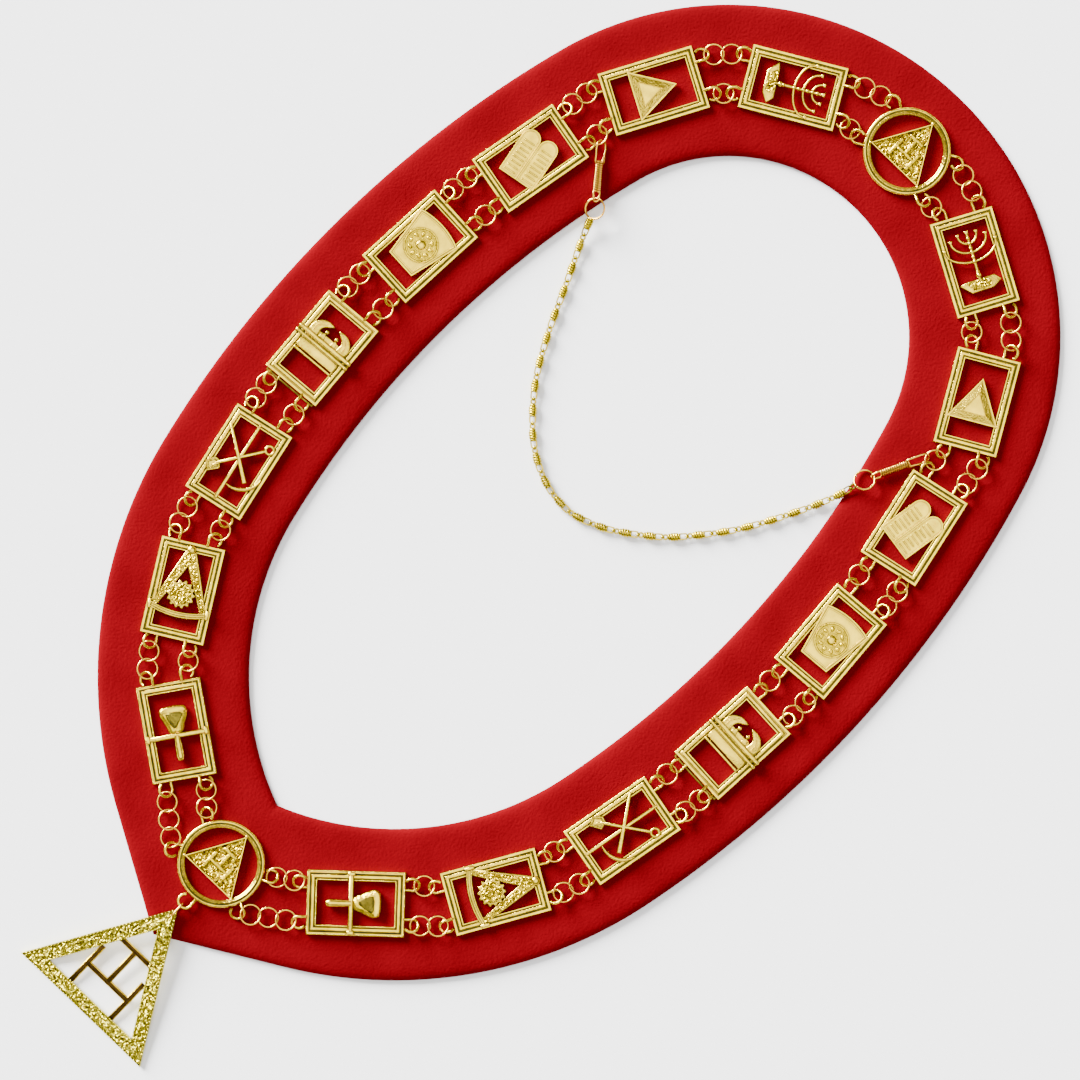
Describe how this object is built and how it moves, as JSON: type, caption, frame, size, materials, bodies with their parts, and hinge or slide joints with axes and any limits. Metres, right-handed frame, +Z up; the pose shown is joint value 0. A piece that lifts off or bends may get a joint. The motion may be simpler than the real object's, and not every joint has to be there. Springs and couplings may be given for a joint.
{
  "type": "masonic officer's chain collar",
  "caption": "Pointed velvet collar laid flat, with a gilt chain of pierced plaques, a triangular drop and a safety chain.",
  "frame": {"origin": "centre of the bounding box at its base, on the surface the collar lies on", "axes": "+Y from the drop at the point to the back of the neck, +X to the right arm seen from above, +Z up"},
  "size_m": [0.3034, 0.5304, 0.0079],
  "materials": {
    "velvet": "red velvet pile",
    "gilt": "polished and matted gilding",
    "ring_gilt": "polished gilding",
    "chain_gilt": "polished gilding"
  },
  "bodies": {
    "root": {"velvet_band": "velvet", "rings_inner_1_right": "ring_gilt", "rings_outer_1_right": "ring_gilt", "rings_inner_2_right": "ring_gilt", "rings_outer_2_right": "ring_gilt", "rings_inner_3_right": "ring_gilt", "rings_outer_3_right": "ring_gilt", "rings_inner_4_right": "ring_gilt", "rings_outer_4_right": "ring_gilt", "rings_inner_5_right": "ring_gilt", "rings_outer_5_right": "ring_gilt", "rings_inner_6_right": "ring_gilt", "rings_outer_6_right": "ring_gilt", "rings_inner_7_right": "ring_gilt", "rings_outer_7_right": "ring_gilt", "rings_inner_8_right": "ring_gilt", "rings_outer_8_right": "ring_gilt", "rings_inner_9_right": "ring_gilt", "rings_outer_9_right": "ring_gilt", "plaque_menorah_right": "gilt", "plaque_triangle_right": "gilt", "plaque_tablets_right": "gilt", "plaque_keystone_right": "gilt", "plaque_ark_right": "gilt", "plaque_tools_right": "gilt", "plaque_sun_right": "gilt", "plaque_trowel_right": "gilt", "rings_inner_1_left": "ring_gilt", "rings_outer_1_left": "ring_gilt", "rings_inner_2_left": "ring_gilt", "rings_outer_2_left": "ring_gilt", "rings_inner_3_left": "ring_gilt", "rings_outer_3_left": "ring_gilt", "rings_inner_4_left": "ring_gilt", "rings_outer_4_left": "ring_gilt", "rings_inner_5_left": "ring_gilt", "rings_outer_5_left": "ring_gilt", "rings_inner_6_left": "ring_gilt", "rings_outer_6_left": "ring_gilt", "rings_inner_7_left": "ring_gilt", "rings_outer_7_left": "ring_gilt", "rings_inner_8_left": "ring_gilt", "rings_outer_8_left": "ring_gilt", "rings_inner_9_left": "ring_gilt", "rings_outer_9_left": "ring_gilt", "plaque_menorah_left": "gilt", "plaque_triangle_left": "gilt", "plaque_tablets_left": "gilt", "plaque_keystone_left": "gilt", "plaque_ark_left": "gilt", "plaque_tools_left": "gilt", "plaque_sun_left": "gilt", "plaque_trowel_left": "gilt", "circle_back": "gilt", "circle_front": "gilt", "pendant": "gilt", "pendant_ring": "ring_gilt", "clasp_left": "chain_gilt", "clasp_right": "chain_gilt", "safety_chain": "chain_gilt"}
  },
  "joints": []
}
